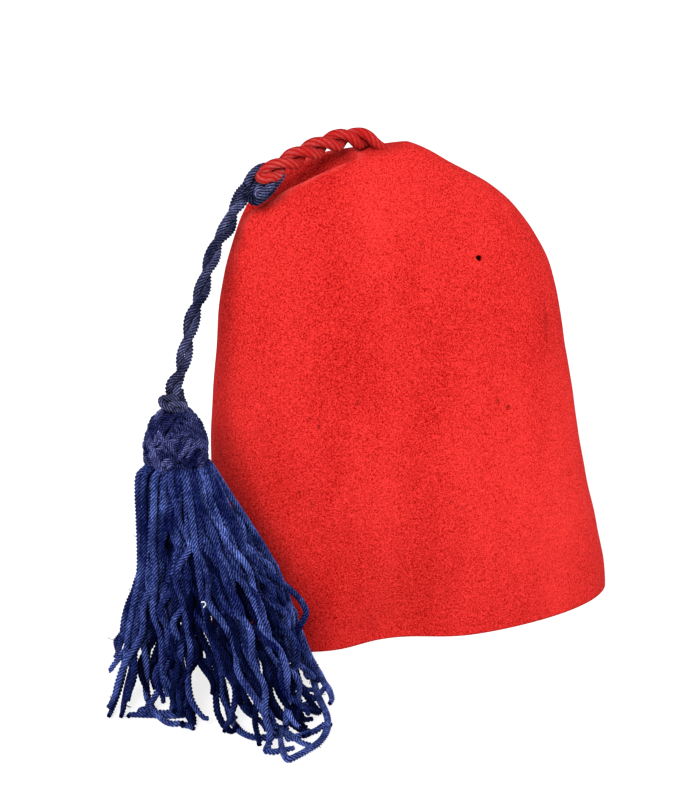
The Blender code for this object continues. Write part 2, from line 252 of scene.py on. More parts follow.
def use_group(tree, group, **values):
    """Places a shader group in a material and sets its inputs; underscores stand for spaces."""
    node = tree.nodes.new("ShaderNodeGroup")
    node.node_tree = group
    for name, value in values.items():
        connect(tree, value, node.inputs[name.replace("_", " ")])
    return node


# %% [markdown]
# A mark on the felt is a soft spot: a small moth's bite, nick or speck, or one long faint streak of
# painted shade along a fold. Each one has a place of its own, and the group below turns the
# distance from its middle into a mask. An image painted by hand would work too, but a mask needs
# no file and can be moved by changing three numbers.

# %% Mark group
def build_mark():
    """A soft round mask: 1 at Middle, 0 at Reach from it."""
    tree, given, made = new_group(
        "spot", "ShaderNodeTree",
        [("Middle", VECTOR, None), ("Reach", VECTOR, None), ("Edge", FLOAT, 0.5)],
        [("Mask", FLOAT)],
    )
    place = tree.nodes.new("ShaderNodeTexCoord").outputs["Object"]
    wobble = add_node(tree, "ShaderNodeTexNoise", place, None, 500.0, 2.0, 0.5).outputs[1]
    moved = on_vectors(tree, "ADD", wobble, (-0.5, -0.5, -0.5))
    small = on_vectors(tree, "MULTIPLY", moved, (0.003, 0.003, 0.003))
    wavy = on_vectors(tree, "ADD", place, small)
    away = on_vectors(tree, "SUBTRACT", wavy, given.outputs["Middle"])
    share = on_vectors(tree, "DIVIDE", away, given.outputs["Reach"])
    far = add_node(tree, "ShaderNodeVectorMath", share, operation="LENGTH")
    inner = calculate(tree, "SUBTRACT", 1.0, given.outputs["Edge"])
    mask = add_node(tree, "ShaderNodeMapRange", far.outputs["Value"], inner, 1.0, 1.0, 0.0)
    connect(tree, mask.outputs[0], made.inputs["Mask"])
    return tree


SPOT = build_mark()
print("spot group:", len(SPOT.nodes), "nodes")


# %% [markdown]
# ## Yarn colours
#
# A yarn is several plies twisted together. Light reaches the top of each ply and not the groove
# between two, so the groove is darker. The sweep that makes the yarns stores how high each point
# of a ply lies in an attribute called peak, and a number for each yarn in one called shade. The
# material mixes its colours by both.

# %% Yarn material
def plain_material(name, **constants):
    """A material, its node tree and its shader, with constants set on the shader's own sockets."""
    made = bpy.data.materials.new(name)
    made.use_nodes = True
    shader = made.node_tree.nodes["Principled BSDF"]
    for label, value in constants.items():
        shader.inputs[label.replace("_", " ")].default_value = value
    return made, made.node_tree, shader


def add_bump(tree, shader, height, strength, distance):
    """Lets a height move the shader's normal."""
    lift = add_node(tree, "ShaderNodeBump")
    lift.inputs["Strength"].default_value = strength
    lift.inputs["Distance"].default_value = distance
    connect(tree, height, lift.inputs["Height"])
    connect(tree, lift.outputs[0], shader.inputs["Normal"])


def mix_colours(tree, share, first, second):
    """One Mix node for colours; gives its result."""
    node = add_node(tree, "ShaderNodeMix", data_type="RGBA")
    for value, at in ((share, 0), (first, 6), (second, 7)):
        connect(tree, value, node.inputs[at])
    return node.outputs[2]


def yarn_material(name, deep, middle, bright, roughness, grain_size, bump):
    """A wool yarn: painted shade in the grooves between plies, and uneven dye."""
    made, tree, shader = plain_material(name, Roughness=roughness, Specular_IOR_Level=0.02)
    peak = add_node(tree, "ShaderNodeAttribute", attribute_name="peak").outputs["Fac"]
    shade = add_node(tree, "ShaderNodeAttribute", attribute_name="shade").outputs["Fac"]
    grain = use_group(tree, GRAIN, Grain_size=grain_size, Cloud_size=0.012, Upright=1.0,
                      Grain=0.6, Clouds=0.5)
    flecks = calculate(tree, "MULTIPLY", grain.outputs["Cover"], 0.85)
    lit = calculate(tree, "MULTIPLY_ADD", shade, 0.38, flecks)
    lit = calculate(tree, "POWER", lit, 3.0)
    tone = mix_colours(tree, lit, middle, bright)
    # The deep colour mixed in by peak is painted shade in the grooves between plies.
    groove = add_node(tree, "ShaderNodeMapRange", peak, 0.05, 0.80, 0.0, 1.0).outputs[0]
    connect(tree, mix_colours(tree, groove, deep, tone), shader.inputs["Base Color"])
    add_bump(tree, shader, grain.outputs["Height"], 0.8, bump)
    return made


BLUE_YARN = yarn_material("blue_yarn", (0.0002, 0.0006, 0.009, 1), (0.003, 0.007, 0.070, 1),
                          (0.200, 0.280, 0.740, 1), 0.85, 0.0013, 0.0005)
# A darker copy of the blue for the yarns deep inside the tassel: painted shade.
SHADED_INNER_YARN = yarn_material("inner_yarn_painted_shade", (0.0001, 0.0002, 0.003, 1), (0.0006, 0.0014, 0.018, 1),
                           (0.030, 0.050, 0.200, 1), 0.85, 0.0013, 0.0005)
NAVY_YARN = yarn_material("navy_yarn", (0.0001, 0.0002, 0.004, 1), (0.0016, 0.0028, 0.020, 1),
                          (0.220, 0.230, 0.430, 1), 0.85, 0.0011, 0.0005)
NET_YARN = yarn_material("net_yarn", (0.0002, 0.0004, 0.008, 1), (0.004, 0.007, 0.052, 1),
                         (0.210, 0.230, 0.520, 1), 0.9, 0.0010, 0.0005)
RED_CORD = yarn_material("red_cord", (0.250, 0.007, 0.006, 1), (0.290, 0.010, 0.009, 1),
                         (0.38, 0.085, 0.080, 1), 0.9, 0.0012, 0.0004)
print("yarn materials:", [made.name for made in (BLUE_YARN, SHADED_INNER_YARN, NAVY_YARN, NET_YARN, RED_CORD)])


# %% [markdown]
# ## One tree that spins every yarn
#
# The yarns differ in thickness, in the number of their plies and in how tightly they are twisted,
# but each one is the same thing: a clover-shaped section that turns as it travels along a line.
# Modelling each ply by itself would take several times the faces. The tree makes the clover from
# a circle, tilts the line so that the clover turns once in every Pitch, and sweeps.

# %% Yarn tree
def build_spinner():
    tree, given, made = new_group(
        "spin_yarn", "GeometryNodeTree",
        [("Lines", "NodeSocketGeometry", None), ("Thickness", FLOAT, 0.004),
         ("Plies", "NodeSocketInt", 3), ("Facets", "NodeSocketInt", 9), ("Groove", FLOAT, 0.14),
         ("Pitch", FLOAT, 0.008), ("Step", FLOAT, 0.0006), ("Seed", "NodeSocketInt", 1),
         ("Material", "NodeSocketMaterial", None)],
        [("Yarns", "NodeSocketGeometry")],
    )
    even = add_node(tree, "GeometryNodeResampleCurve", mode="LENGTH")
    connect(tree, given.outputs["Lines"], even.inputs["Curve"])
    connect(tree, given.outputs["Step"], even.inputs["Length"])
    walked = tree.nodes.new("GeometryNodeSplineParameter").outputs["Length"]
    which = tree.nodes.new("GeometryNodeCurveOfPoint").outputs["Curve Index"]
    chance = add_node(tree, "FunctionNodeRandomValue", data_type="FLOAT")
    connect(tree, which, chance.inputs["ID"])
    connect(tree, given.outputs["Seed"], chance.inputs["Seed"])
    random_share = chance.outputs[1]
    turns = calculate(tree, "ADD", calculate(tree, "DIVIDE", walked, given.outputs["Pitch"]),
                      random_share)
    tilt = add_node(tree, "GeometryNodeSetCurveTilt")
    connect(tree, even.outputs[0], tilt.inputs["Curve"])
    connect(tree, calculate(tree, "MULTIPLY", turns, 2 * math.pi), tilt.inputs["Tilt"])
    shade = add_node(tree, "GeometryNodeStoreNamedAttribute", data_type="FLOAT", domain="POINT")
    connect(tree, tilt.outputs[0], shade.inputs["Geometry"])
    shade.inputs["Name"].default_value = "shade"
    connect(tree, random_share, shade.inputs["Value"])

    circle = add_node(tree, "GeometryNodeCurvePrimitiveCircle", mode="RADIUS")
    connect(tree, given.outputs["Facets"], circle.inputs["Resolution"])
    connect(tree, calculate(tree, "MULTIPLY", given.outputs["Thickness"], 0.5),
            circle.inputs["Radius"])
    index = tree.nodes.new("GeometryNodeInputIndex").outputs[0]
    angle = calculate(tree, "DIVIDE", index, given.outputs["Facets"])
    angle = calculate(tree, "MULTIPLY", calculate(tree, "MULTIPLY", angle, 2 * math.pi),
                      given.outputs["Plies"])
    wave = calculate(tree, "MULTIPLY", calculate(tree, "COSINE", angle), -1.0)
    peak = add_node(tree, "GeometryNodeStoreNamedAttribute", data_type="FLOAT", domain="POINT")
    connect(tree, circle.outputs["Curve"], peak.inputs["Geometry"])
    peak.inputs["Name"].default_value = "peak"
    connect(tree, calculate(tree, "MULTIPLY_ADD", wave, 0.5, 0.5), peak.inputs["Value"])
    dip = calculate(tree, "MULTIPLY", calculate(tree, "SUBTRACT", wave, 1.0),
                    given.outputs["Groove"])
    size = calculate(tree, "ADD", dip, 1.0)
    clover = tree.nodes.new("GeometryNodeSetPosition")
    here = tree.nodes.new("GeometryNodeInputPosition").outputs[0]
    grown = add_node(tree, "ShaderNodeVectorMath", here, operation="SCALE")
    connect(tree, size, grown.inputs["Scale"])
    connect(tree, peak.outputs[0], clover.inputs["Geometry"])
    connect(tree, grown.outputs[0], clover.inputs["Position"])

    sweep = tree.nodes.new("GeometryNodeCurveToMesh")
    connect(tree, shade.outputs[0], sweep.inputs["Curve"])
    connect(tree, clover.outputs[0], sweep.inputs["Profile Curve"])
    sweep.inputs["Fill Caps"].default_value = True
    if "Scale" in sweep.inputs:
        connect(tree, tree.nodes.new("GeometryNodeInputRadius").outputs[0], sweep.inputs["Scale"])
    smooth = add_node(tree, "GeometryNodeSetShadeSmooth", sweep.outputs[0])
    single = add_node(tree, "GeometryNodeRealizeInstances", smooth.outputs[0])
    dyed = tree.nodes.new("GeometryNodeSetMaterial")
    connect(tree, single.outputs[0], dyed.inputs["Geometry"])
    connect(tree, given.outputs["Material"], dyed.inputs["Material"])
    connect(tree, dyed.outputs[0], made.inputs["Yarns"])
    return tree


SPINNER = build_spinner()
print("yarn tree:", len(SPINNER.nodes), "nodes")


# %% [markdown]
# The tree is put on a curve as a modifier. Its inputs are set by the identifier of each socket.
# The result is then copied to a plain mesh, and the curve goes away.

# %% Spin yarns
def plain_mesh(item, name):
    """Swaps an object with modifiers for a plain mesh of its result."""
    graph = bpy.context.evaluated_depsgraph_get()
    mesh = bpy.data.meshes.new_from_object(item.evaluated_get(graph))
    bpy.data.objects.remove(item, do_unlink=True)
    mesh.name = name
    return place_in_scene(name, mesh)


def set_inputs(modifier, values):
    for socket in modifier.node_group.interface.items_tree:
        if socket.item_type == "SOCKET" and socket.in_out == "INPUT" and socket.name in values:
            modifier[socket.identifier] = values[socket.name]


def spin(name, lines, material, thickness, pitch, plies, facets, groove, step, seed, taper=None):
    """Yarns along the given lines, as one plain mesh."""
    curve = bpy.data.curves.new(name, "CURVE")
    curve.dimensions = "3D"
    for line in lines:
        spline = curve.splines.new("POLY")
        spline.points.add(len(line) - 1)
        for i, (point, spot) in enumerate(zip(spline.points, line)):
            point.co = (*spot, 1.0)
            uneven = 1.0 + 0.09 * noise.noise(Vector(spot) * 160)
            point.radius = uneven * (taper(i / (len(line) - 1)) if taper else 1.0)
    item = place_in_scene(name + "_lines", curve)
    modifier = item.modifiers.new("spin", "NODES")
    modifier.node_group = SPINNER
    set_inputs(modifier, {
        "Thickness": thickness, "Plies": plies, "Facets": facets, "Groove": groove,
        "Pitch": pitch, "Step": step, "Seed": seed, "Material": material,
    })
    made = plain_mesh(item, name)
    print(name, len(lines), "yarns,", len(made.data.polygons), "faces")
    return made


def stand_for(piece, slot, *nodes):
    """Lets a finished piece stand for its solids. Slot is not used."""
    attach(piece, "root")
    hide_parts(*nodes)


# %% [markdown]
# ## The red loop
#
# The loop is one thick red cord, doubled and twisted on itself until it locks. Both ends are sewn
# to the crown, and the closed end sticks out over the left shoulder. Two lines wind round the
# route on opposite sides and meet in a half circle.

# %% Red loop
CLEAR = 0.0003
LOOP_STRAND = 0.0058
LOOP_HALF_TURNS = 5
LOOP_STEPS = 36
LOOP_END_STEPS = 5
LOOP_ROUTE = (
    (-0.027, 0.000, 0.2698), (-0.034, -0.001, 0.2718), (-0.043, -0.003, 0.2732),
    (-0.052, -0.006, 0.2724), (-0.062, -0.009, 0.2706), (-0.073, -0.013, 0.2680),
    (-0.084, -0.017, 0.2648), (-0.0947, -0.020, 0.2606),
)
# From the first point of each strand down to its sewn foot.
LOOP_FOOT = Vector((0.0055, 0, -0.0045))


def wound_pair(line, apart, turns):
    """Two lines on opposite sides of one, turned round it by an angle at each point."""
    pair = ([], [])
    for point, (_, side, up), turn in zip(line, directions(line), turns):
        away = side * math.cos(turn) + up * math.sin(turn)
        pair[0].append(point + away * apart)
        pair[1].append(point - away * apart)
    return pair


def loop_line():
    """The middle of the red cord, from one sewn foot round the closed end to the other."""
    line = smooth_line(LOOP_ROUTE, LOOP_STEPS)
    turns = [math.pi * LOOP_HALF_TURNS * i / (LOOP_STEPS - 1) for i in range(LOOP_STEPS)]
    first, second = wound_pair(line, (LOOP_STRAND + CLEAR) / 2, turns)
    ahead = (line[-1] - line[-2]).normalized()
    middle, across = (first[-1] + second[-1]) / 2, (first[-1] - second[-1]) / 2
    end = [
        middle + across * math.cos(a) + ahead * across.length * math.sin(a)
        for a in np.linspace(0, math.pi, LOOP_END_STEPS + 2)[1:-1]
    ]
    for strand in (first, second):
        strand.insert(0, strand[0] + LOOP_FOOT)
    return first + end + second[::-1]


red_line = loop_line()
red_path = smooth_line(red_line, 180)
red_loop = spin("red_loop", [red_path], RED_CORD, LOOP_STRAND, 0.026, plies=6, facets=24,
                groove=0.012, step=0.0008, seed=4)
stand_for(red_loop, "red_cord", "top_loop")
print("red cord", round(1000 * length_of(red_path)), "mm long")


# %% [markdown]
# ## The blue cord
#
# Two strands of yarn hang from the loop, loosely twisted on each other. Where they lie side by
# side the cord is wide, and where one covers the other it is narrow, so it looks like a row of
# beads. The strands are drawn as two lines that wind round the route, once in 36 mm.

# %% Hanging cord
STRAND_THICK = 0.0046
CORD_PITCH = 0.036
CORD_APART = 0.0022
CORD_PHASE = 0.6
TASSEL_X = -0.157
TASSEL_Y = -0.048
CORD_ROUTE = (
    (-0.1034, -0.0160, 0.2560), (-0.1060, -0.0140, 0.2495), (-0.1100, -0.0135, 0.2425),
    (-0.1143, -0.0165, 0.2352), (-0.1219, -0.0205, 0.2270), (-0.1265, -0.0240, 0.2199),
    (-0.1315, -0.0285, 0.2113), (-0.1360, -0.0325, 0.2026), (-0.1409, -0.0360, 0.1945),
    (-0.1447, -0.0395, 0.1847), (-0.1485, -0.0430, 0.1755), (-0.1515, -0.0455, 0.1670),
    (-0.1558, -0.0476, 0.1622), (TASSEL_X, TASSEL_Y, 0.1561),
)

cord_path = smooth_line(CORD_ROUTE, 60)
cord_turns = [CORD_PHASE + 2 * math.pi * walked / CORD_PITCH for walked in walk_along(cord_path)]
hanging_cord = spin("blue_cord", wound_pair(cord_path, CORD_APART, cord_turns), NAVY_YARN,
                    STRAND_THICK, 0.0115, plies=6, facets=12, groove=0.15, step=0.0008, seed=7,
                    taper=lambda t: 1.10 - 0.14 * t)
stand_for(hanging_cord, "blue_yarn", "hanging_cord")
print("blue cord", round(1000 * length_of(cord_path)), "mm long")


# %% [markdown]
# ## The hitch
#
# The blue cord goes through the eye of the red loop and back under itself, which holds it without
# a knot. Seen from the front, one strand passes behind the red end and turns down into the
# hanging cord, and a bight of two strands hangs under the red end. The shape is not a ring or any
# other simple form, so each strand is a short list of points. They were picked in the photograph,
# turned into places outside this script, and then moved by eye. They are measured from the red end:
# to the right, to the front and up, where the front faces the camera.

# %% Hitch
TO_THE_RIGHT = Vector((math.cos(AZIMUTH), -math.sin(AZIMUTH), 0))
TO_THE_FRONT = Vector((-math.sin(AZIMUTH), -math.cos(AZIMUTH), 0))
# Each row: right, front and up, in mm.
OVER_THE_RED = (
    (7.5, -8.0, -3.0), (5.5, -6.6, 0.5), (1.5, -6.2, 3.0), (-2.5, -5.0, 3.0),
    (-6.3, -2.2, 1.0), (-9.4, 0.0, -3.0), (-11.2, 0.5, -7.5), (-13.0, 0.5, -12.0),
)
BIGHT = (
    (-0.5, -6.0, 0.0), (-4.3, -3.6, -3.4), (-7.6, -0.6, -7.4), (-8.4, 0.8, -11.0),
    (-6.0, 1.6, -13.4), (-2.2, 1.6, -11.6), (2.0, 0.8, -7.9), (5.3, -1.6, -4.2), (7.6, -5.0, -1.2),
    (6.5, -8.5, -0.5),
)
INNER_BIGHT = (
    (1.5, -5.6, -2.6), (-1.6, -2.2, -5.2), (-4.2, 1.0, -8.0), (-3.9, 2.6, -10.0),
    (-0.8, 2.6, -8.2), (2.4, 0.8, -5.2), (4.5, -3.4, -2.6),
)


def hitch_strand(rows, count=46):
    """A smooth strand through points measured in mm from the red end."""
    end = Vector(LOOP_ROUTE[-1])
    return smooth_line(
        [end + (TO_THE_RIGHT * right + TO_THE_FRONT * front + Vector((0, 0, up))) / 1000
         for right, front, up in rows], count)


hitch_lines = [hitch_strand(rows) for rows in (OVER_THE_RED, BIGHT, INNER_BIGHT)]
hitch = spin("blue_hitch", hitch_lines, NAVY_YARN, 1.06 * STRAND_THICK, 0.0115, plies=6,
             facets=12, groove=0.15, step=0.0008, seed=11)
stand_for(hitch, "blue_yarn", "hitch")


# %% [markdown]
# ## The neck knot
#
# Just above the tassel the cord is tied in a plain overhand knot. It is drawn as two turns of yarn
# that cross each other at an angle, a small lobe that sticks out to the left, and the cord itself,
# which runs down through them.

# %% Neck knot
knot_low, knot_high = (Vector(corner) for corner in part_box("neck_knot"))
KNOT_RIGHT = 0.0022
RING_SWEEP = 380
RING_STEPS = 36
knot_middle = (knot_low + knot_high) / 2 + Vector((KNOT_RIGHT, 0, 0))


def tilted_ring(middle, radius_x, radius_y, lean, turn, lift):
    """A ring round the upright axis, leaned over and turned. Its ends overlap."""
    turned = Matrix.Rotation(math.radians(turn), 4, "Z") @ Matrix.Rotation(math.radians(lean), 4, "X")
    points = []
    for angle in np.radians(np.linspace(0, RING_SWEEP, RING_STEPS)):
        flat = Vector((radius_x * math.cos(angle), radius_y * math.sin(angle), 0))
        points.append(middle + turned @ flat + Vector((0, 0, lift)))
    return points


knot_lines = [
    tilted_ring(knot_middle, 0.0042, 0.0040, 26, 20, 0.0016),
    tilted_ring(knot_middle, 0.0046, 0.0042, -24, 60, -0.0018),
]
# Each row: the number of points of a strand, and its route from the middle of the knot.
KNOT_STRANDS = (
    (30, ((0.001, -0.0045, -0.002), (-0.004, -0.0060, 0.0005), (-0.0085, -0.0040, 0.0030),
          (-0.0080, -0.0010, 0.0052), (-0.0040, -0.0030, 0.0058), (0.000, -0.0040, 0.0050))),
    (20, ((-0.0065, -0.0030, 0.0020), (-0.0030, -0.0050, 0.0030), (0.0010, -0.0050, 0.0020),
          (0.0030, -0.0030, -0.0010))),
    (24, ((0.002, 0.000, 0.009), (0.0015, -0.003, 0.003), (0.000, -0.0025, -0.004),
          (-0.001, -0.001, -0.008))),
)
for count, spots in KNOT_STRANDS:
    knot_lines.append(smooth_line([knot_middle + Vector(spot) for spot in spots], count))
neck_knot = spin("neck_knot_yarn", knot_lines, NAVY_YARN, 0.0040, 0.0100, plies=6, facets=12,
                 groove=0.15, step=0.0008, seed=13)
stand_for(neck_knot, "blue_yarn", "neck_knot")


# %% [markdown]
# ## The crocheted head
#
# A crocheted cap holds the top of the tassel together. Under it is a core with the outline of the
# model's head, a little smaller, which closes the gaps between the stitches. A Screw modifier could
# turn the outline, but rings of points need no second object.

# %% Tassel head
HEAD_BOTTOM = 0.119
HEAD_WIDE = 0.034
HEAD_TALL = 0.029
HEAD_X = TASSEL_X + 0.0012
# Each row: a share of the half width, and a share of the height.
HEAD_OUTLINE = ((0.91, 0.00), (1.00, 0.17), (0.98, 0.48), (0.86, 0.72), (0.67, 0.90), (0.48, 1.00))


def head_point(radius, turn, share):
    """A point round the head's axis, at a share of the head's height."""
    return Vector((HEAD_X + radius * math.cos(turn), TASSEL_Y + radius * math.sin(turn),
                   HEAD_BOTTOM + HEAD_TALL * share))


def turned(name, outline, material, sides=32):
    """A closed dome turned from shares of the head's half width and height."""
    work = bmesh.new()
    rings = []
    for out, up in outline:
        turns = [0.0] if out == 0 else np.linspace(0, 2 * math.pi, sides + 1)[:-1]
        rings.append([work.verts.new(head_point(out * HEAD_WIDE / 2, a, up)) for a in turns])
    for lower, upper in zip(rings, rings[1:]):
        for i in range(sides):
            j = (i + 1) % sides
            corners = (lower[i % len(lower)], lower[j % len(lower)],
                       upper[j % len(upper)], upper[i % len(upper)])
            work.faces.new(tuple(dict.fromkeys(corners)))
    bmesh.ops.recalc_face_normals(work, faces=work.faces)
    mesh = bpy.data.meshes.new(name)
    work.to_mesh(mesh)
    work.free()
    mesh.shade_smooth()
    mesh.materials.append(material)
    return place_in_scene(name, mesh)


head_core = turned("tassel_head_core", [(0.0, -0.03), (0.84, -0.03)] + [
    (out * 0.90, min(share * 0.96, 0.94)) for out, share in HEAD_OUTLINE] + [(0.0, 0.95)], NET_YARN)
stand_for(head_core, "blue_net", "tassel_head")
print("head core", len(head_core.data.polygons), "faces")


# %% [markdown]
# The stitches are small loops in rows, each hooked through the row below, so they look like
# crossing lumps. One stitch is a short line that goes up, over and down again. Rows of them are
# laid round the head, each row shifted by half a stitch, with a little chance in every point.

# %% Head stitches
STITCH_YARN = 0.0030
STITCH_ROWS = 7
STITCH_LONG = 0.0066
# Each row: along as a share of a stitch, up as a share of a row, and out in mm.
STITCH = (
    (-0.45, -0.55, -1.6), (-0.32, -0.15, 0.1), (-0.10, 0.35, 0.5), (0.12, 0.62, -0.1),
    (0.30, 0.40, -0.7), (0.22, 0.00, -0.2), (0.05, -0.30, 0.3), (0.30, -0.62, -1.5),
)


def head_radius(share):
    """The head's half width at a share of its height."""
    ups = [row[1] for row in HEAD_OUTLINE]
    outs = [row[0] for row in HEAD_OUTLINE]
    return float(np.interp(share, ups, outs)) * HEAD_WIDE / 2


def on_head(turn, share, proud):
    """A point on the head's dome, moved outwards by proud."""
    return head_point(head_radius(min(max(share, 0.0), 1.0)) + proud, turn, share)


def stitch_lines():
    chance = random.Random(5)
    lines = []
    for row in range(STITCH_ROWS):
        share = (row + 0.45) / STITCH_ROWS
        around = 2 * math.pi * head_radius(share)
        count = max(6, round(around / STITCH_LONG))
        for k in range(count):
            flip = 1 if chance.random() < 0.6 else -1
            grow = chance.uniform(0.85, 1.25)
            points = []
            for along, up_share, out in STITCH:
                turn = 2 * math.pi * (k + 0.5 * (row % 2) + flip * along * grow * 1.35
                                      + chance.uniform(-0.05, 0.05)) / count
                height = share + (up_share * grow * 1.15 + chance.uniform(-0.08, 0.08)) / STITCH_ROWS
                points.append(on_head(turn, height, out / 1000 - STITCH_YARN / 2
                                      + chance.uniform(-0.0003, 0.0003)))
            lines.append(smooth_line(points, 16))
    return lines


head_stitches = spin("tassel_head_stitches", stitch_lines(), NET_YARN, STITCH_YARN, 0.008, plies=5,
                     facets=10, groove=0.13, step=0.0007, seed=17)
stand_for(head_stitches, "blue_net", "tassel_head")


# %% [markdown]
# ## The yarns of the tassel
#
# About a hundred yarns leave the head, roll over its lower edge and hang to the surface, where
# their ends curl. They follow the locks of the model: each lock has one line, and its yarns run beside
# that line with their own waves, lengths and curls. A hair system could scatter them, but locks
# chosen one by one keep the parting, the spread to the right and the gaps that the real one has.

# %% Locks
SKIRT_LONG = 0.155
LOCK_THICK = 0.0125
BULGE = 0.0160
YARN = 0.0036
LOCK_COLUMNS = ("leave", "out", "turn", "bow", "lie", "girth")
LOCKS = (
    (205, 0.40, 216, 0.02, 0.10, 1.0),
    (222, 0.33, 228, 0.01, 0.12, 1.0),
    (240, 0.35, 243, 0.02, 0.12, 1.0),
    (257, 0.45, 256, 0.03, 0.15, 0.9),
    (272, 0.54, 273, 0.03, 0.15, 0.9),
    (286, 0.74, 279, 0.04, 0.12, 1.0),
    (300, 0.64, 285, 0.05, 0.15, 1.0),
    (314, 0.71, 291, 0.05, 0.15, 1.0),
    (328, 0.63, 299, 0.06, 0.15, 1.0),
    (343, 0.55, 315, 0.07, 0.15, 1.0),
    (358, 0.48, 334, 0.08, 0.12, 0.9),
    (16, 0.40, 355, 0.07, 0.10, 0.9),
    (42, 0.24, 20, 0.04, 0.10, 0.9),
    (72, 0.22, 62, 0.02, 0.10, 0.9),
    (106, 0.24, 102, 0.02, 0.10, 0.9),
    (140, 0.24, 142, 0.02, 0.10, 1.0),
    (172, 0.24, 180, 0.00, 0.10, 1.0),
)
LOCK_ROWS = [dict(zip(LOCK_COLUMNS, values)) for values in LOCKS]


def round_axis(out, degrees, z):
    """A point at a distance and an angle from the tassel's axis."""
    turn = math.radians(degrees)
    return Vector((TASSEL_X + out * math.cos(turn), TASSEL_Y + out * math.sin(turn), z))


def from_axis(point):
    """The level way from the tassel's axis to a point."""
    return Vector((point.x - TASSEL_X, point.y - TASSEL_Y, 0))


def lock_line(row, count):
    """The middle of a lock from inside the head to its tip on the surface."""
    half = row["girth"] * LOCK_THICK / 2
    tip_out = row["out"] * SKIRT_LONG
    floor = half * 0.5 + CLEAR
    roll = HEAD_BOTTOM - half - 3 * CLEAR
    bulge = round_axis(BULGE, row["leave"], roll - half * 0.7)
    foot = round_axis(tip_out * (1 - row["lie"]), row["turn"], floor + half * 0.4)
    middle = (bulge + foot) / 2
    outward = from_axis(middle).normalized()
    middle += outward * (row["bow"] * SKIRT_LONG - (foot - bulge).xy.length * 0.12)
    top = round_axis(BULGE * 0.80, row["leave"], HEAD_BOTTOM + 0.0025)
    return smooth_line((top, bulge, middle, foot, round_axis(tip_out, row["turn"], floor)), count)


lock_lengths = [round(1000 * length_of(lock_line(row, 80))) for row in LOCK_ROWS]
print(len(LOCK_ROWS), "locks,", min(lock_lengths), "to", max(lock_lengths), "mm long")


# %% [markdown]
# A lock holds an outer layer of yarns and more behind it. A yarn may end in the next lock, so the
# yarns cross as they do in a worn tassel. It keeps its place beside the lock's line, turns round
# it slowly, and two waves of its own bend it. All yarns roll over the lower edge of the head.

# %% Yarn places
# In a lock: how far out and how far round each yarn lies from the lock's line, in mm.
FRONT_PLACES = ((2.7, -0.6), (0.5, -3.3), (0.2, 3.0))
INNER_PLACES = ((-2.2, 0.8), (-5.0, -1.8))
BACK_PLACES = ((2.6, -1.8), (2.4, 2.0), (-1.2, -2.4), (-1.4, 1.8))


def ease(t):
    """0 to 1 with a gentle start and end."""
    t = min(max(t, 0.0), 1.0)
    return t * t * (3 - 2 * t)


# %% One yarn
SQUEEZE = 0.0012
SQUEEZE_LEFT = 0.0050
LEAN_RIGHT = 0.0032
STRAY = 0.0020
STRAY_SCALE = 75
CURL = 0.015
CURL_FROM = 0.76
BELLY_FROM = 0.06
BELLY_LONG = 0.80
SWIRL_MOST = 1.5
WAVE_LONG = (0.026, 0.052)
SWING_MOST = (0.0008, 0.0032)
FULL_TURN = 6.28


def yarn_line(first, last, chance, place, count=80):
    """A yarn that starts in one lock and ends in the same one or the next."""
    near, far = lock_line(LOCK_ROWS[first], count), lock_line(LOCK_ROWS[last], count)
    line = [a.lerp(b, ease(i / (count - 1) * 1.2 - 0.12)) for i, (a, b) in enumerate(zip(near, far))]
    swirl = chance.uniform(-SWIRL_MOST, SWIRL_MOST)
    waves = [(chance.uniform(*WAVE_LONG), chance.uniform(0, FULL_TURN)) for _ in range(2)]
    swing_most = chance.uniform(*SWING_MOST)
    curl = chance.uniform(-1, 1)
    kink = Vector([chance.uniform(-1, 1) for _ in range(3)])
    out_by, round_by = (v / 1000 * chance.uniform(0.8, 1.2) for v in place)
    long = length_of(line)
    points = []
    for i, (point, (ahead, _, _)) in enumerate(zip(line, directions(line))):
        t = i / (count - 1)
        level = from_axis(point).normalized()
        around = ahead.cross(level).normalized()
        outward = around.cross(ahead)
        angle = swirl * ease(t * 1.3 - 0.25)
        swing = 0.0002 + swing_most * ease(t * 2.5)
        wave_out, wave_round = (
            swing * math.sin(FULL_TURN * t * long / wave_long + start) for wave_long, start in waves
        )
        moved = outward * (out_by * math.cos(angle) - round_by * math.sin(angle) + wave_out)
        moved += around * (out_by * math.sin(angle) + round_by * math.cos(angle) + wave_round)
        moved += around * curl * CURL * (max(t - CURL_FROM, 0) / (1 - CURL_FROM)) ** 1.6
        belly = math.sin(math.pi * min(max(t - BELLY_FROM, 0) / BELLY_LONG, 1))
        pinch = SQUEEZE - SQUEEZE_LEFT * min(level.dot(TO_THE_RIGHT), 0)
        if level.y < 0.3 or level.x < 0:
            moved += (TO_THE_RIGHT * LEAN_RIGHT - level * pinch) * belly
        moved += kink * STRAY * ease(t * 3) * noise.noise(point * STRAY_SCALE + kink * 7)
        points.append(point + moved)
    return points


# %% Tops of the yarns
ROLL_REACH = 0.0212
# Each row: a share of the reach, the height over the head's edge, and whether it is lifted.
ROLL = ((0.50, 0.0025, 0), (0.80, 0.0006, 1), (1.00, -0.0052, 1))


